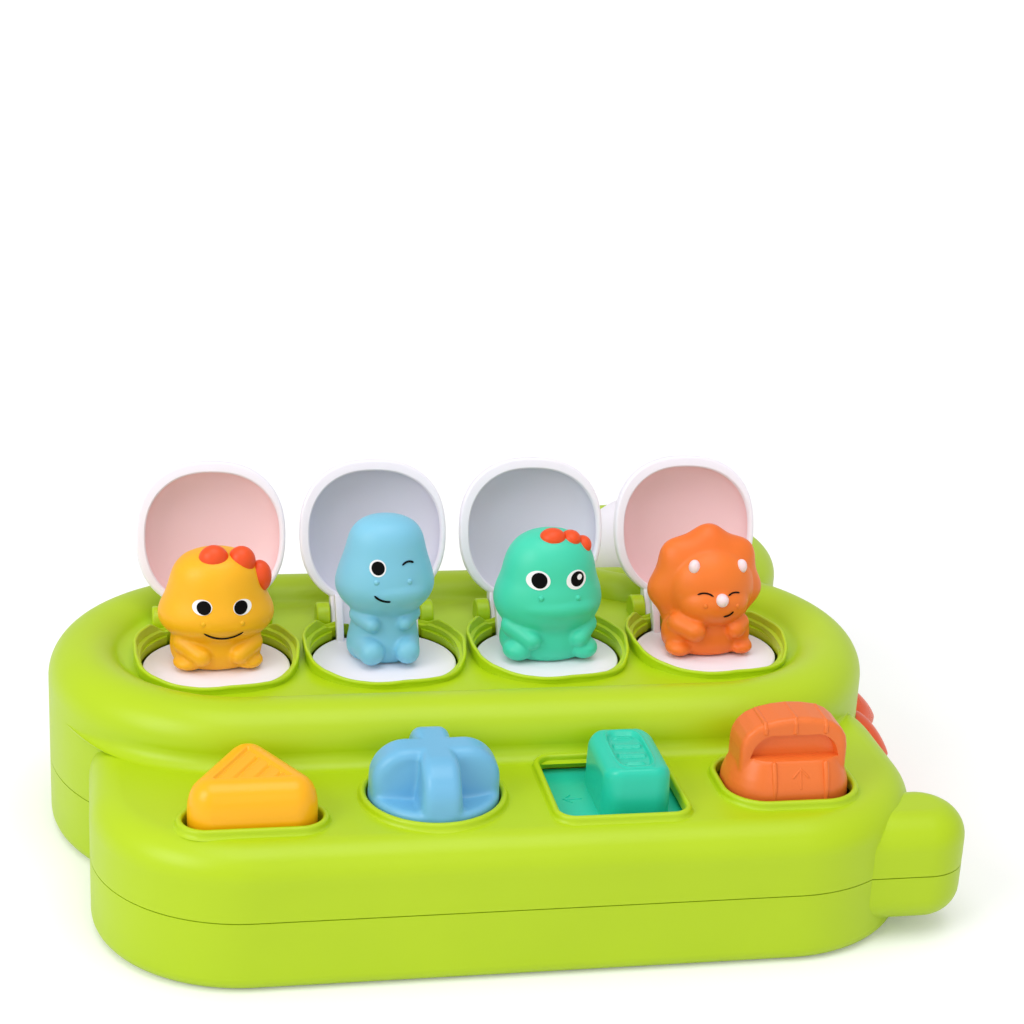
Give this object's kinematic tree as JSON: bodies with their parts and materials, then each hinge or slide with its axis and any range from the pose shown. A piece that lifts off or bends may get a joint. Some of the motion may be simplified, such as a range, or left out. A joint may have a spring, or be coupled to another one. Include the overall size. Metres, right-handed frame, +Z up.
{
  "type": "pop up animal toy",
  "caption": "Toy case with a rolling eye, whose push, turn, slide and rock controls free sprung lids with small animals on them.",
  "frame": {"origin": "on the surface that the toy stands on, under the middle of the row of lids", "axes": "+X along the row of lids from the first lid to the last, +Y from the controls to the eye, +Z up"},
  "size_m": [0.2614, 0.2215, 0.1009],
  "materials": {
    "green_plastic": "glossy moulded green",
    "white_plastic": "glossy moulded white",
    "black_plastic": "polished black",
    "yellow_plastic": "glossy moulded yellow",
    "blue_plastic": "glossy moulded blue",
    "teal_plastic": "glossy moulded teal",
    "orange_plastic": "glossy moulded orange",
    "grey_plastic": "plain moulded grey",
    "yellow_vinyl": "soft satin vinyl, yellow",
    "blue_vinyl": "soft satin vinyl, blue",
    "teal_vinyl": "soft satin vinyl, teal",
    "orange_vinyl": "soft satin vinyl, orange",
    "steel": "plain bright wire and screw steel"
  },
  "bodies": {
    "case": {"top_shell": "green_plastic", "base_shell": "green_plastic", "eye_axle": "steel", "rocker_axle": "steel", "button_spring": "steel", "back_spike_1": "orange_plastic", "back_spike_2": "orange_plastic", "side_spike_1": "orange_plastic", "side_spike_2": "orange_plastic", "side_spike_3": "orange_plastic", "hinge_pin_1": "steel", "hinge_pin_2": "steel", "hinge_pin_3": "steel", "hinge_pin_4": "steel", "lid_spring_1": "steel", "lid_spring_2": "steel", "lid_spring_3": "steel", "lid_spring_4": "steel", "case_screw_1": "steel", "case_screw_2": "steel", "case_screw_3": "steel", "case_screw_4": "steel", "case_screw_5": "steel", "case_screw_6": "steel", "case_screw_7": "steel"},
    "eye": {"eyeball": "white_plastic", "pupil": "black_plastic"},
    "pop_up_1": {"lid_1": "white_plastic", "platform_1": "white_plastic", "figure_1": "yellow_vinyl"},
    "pop_up_2": {"lid_2": "white_plastic", "platform_2": "white_plastic", "figure_2": "blue_vinyl"},
    "pop_up_3": {"lid_3": "white_plastic", "platform_3": "white_plastic", "figure_3": "teal_vinyl"},
    "pop_up_4": {"lid_4": "white_plastic", "platform_4": "white_plastic", "figure_4": "orange_vinyl"},
    "button": {"push_button": "yellow_plastic"},
    "knob": {"rotary_knob": "blue_plastic"},
    "slide_block": {"slider": "teal_plastic"},
    "rock_barrel": {"rocker": "orange_plastic"},
    "latch_bar_1": {"latch_1": "grey_plastic"},
    "latch_bar_2": {"latch_2": "grey_plastic"},
    "latch_bar_3": {"latch_3": "grey_plastic"},
    "latch_bar_4": {"latch_4": "grey_plastic"}
  },
  "joints": [
    {"name": "eye_roll", "type": "hinge", "parent": "case", "child": "eye", "pos_m": [0.0745, 0.0949, 0.047], "axis": [1, 0, 0], "continuous": true},
    {"name": "pop_up_1_turn", "type": "hinge", "parent": "case", "child": "pop_up_1", "pos_m": [-0.075, 0.0445, 0.0533], "axis": [1, 0, 0], "range_deg": [0, 105], "stiffness_Nm_per_rad": 0.02, "springref_deg": -40.11},
    {"name": "pop_up_2_turn", "type": "hinge", "parent": "case", "child": "pop_up_2", "pos_m": [-0.025, 0.0445, 0.0533], "axis": [1, 0, 0], "range_deg": [0, 105], "stiffness_Nm_per_rad": 0.02, "springref_deg": -40.11},
    {"name": "pop_up_3_turn", "type": "hinge", "parent": "case", "child": "pop_up_3", "pos_m": [0.025, 0.0445, 0.0533], "axis": [1, 0, 0], "range_deg": [0, 105], "stiffness_Nm_per_rad": 0.02, "springref_deg": -40.11},
    {"name": "pop_up_4_turn", "type": "hinge", "parent": "case", "child": "pop_up_4", "pos_m": [0.075, 0.0445, 0.0533], "axis": [1, 0, 0], "range_deg": [0, 105], "stiffness_Nm_per_rad": 0.02, "springref_deg": -40.11},
    {"name": "button_press", "type": "slide", "parent": "case", "child": "button", "axis": [0, 0, -1], "range_m": [0, 0.004], "stiffness_N_per_m": 300, "springref_m": -0.002, "deforming": ["button_spring"]},
    {"name": "knob_turn", "type": "hinge", "parent": "case", "child": "knob", "pos_m": [-0.02065, -0.0543, 0], "axis": [0, 0, -1], "range_deg": [0, 30], "stiffness_Nm_per_rad": 0.02, "springref_deg": -11.46},
    {"name": "slider_push", "type": "slide", "parent": "case", "child": "slide_block", "axis": [-1, 0, 0], "range_m": [0, 0.01], "stiffness_N_per_m": 60, "springref_m": -0.004},
    {"name": "rocker_tilt", "type": "hinge", "parent": "case", "child": "rock_barrel", "pos_m": [0.07835, -0.0543, 0.0383], "axis": [1, 0, 0], "range_deg": [0, 15], "stiffness_Nm_per_rad": 0.04, "springref_deg": -17.19},
    {"name": "latch_1_slide", "type": "slide", "parent": "case", "child": "latch_bar_1", "axis": [0, 1, 0], "range_m": [0, 0.004]},
    {"name": "latch_2_slide", "type": "slide", "parent": "case", "child": "latch_bar_2", "axis": [0, 1, 0], "range_m": [0, 0.004]},
    {"name": "latch_3_slide", "type": "slide", "parent": "case", "child": "latch_bar_3", "axis": [0, 1, 0], "range_m": [0, 0.004]},
    {"name": "latch_4_slide", "type": "slide", "parent": "case", "child": "latch_bar_4", "axis": [0, 1, 0], "range_m": [0, 0.004]}
  ],
  "couplings": [
    {"joint": "latch_1_slide", "follows": "button_press", "ratio": 1},
    {"joint": "latch_2_slide", "follows": "knob_turn", "m_per_rad": 0.00763},
    {"joint": "latch_3_slide", "follows": "slider_push", "ratio": 0.4},
    {"joint": "latch_4_slide", "follows": "rocker_tilt", "m_per_rad": 0.0151}
  ]
}
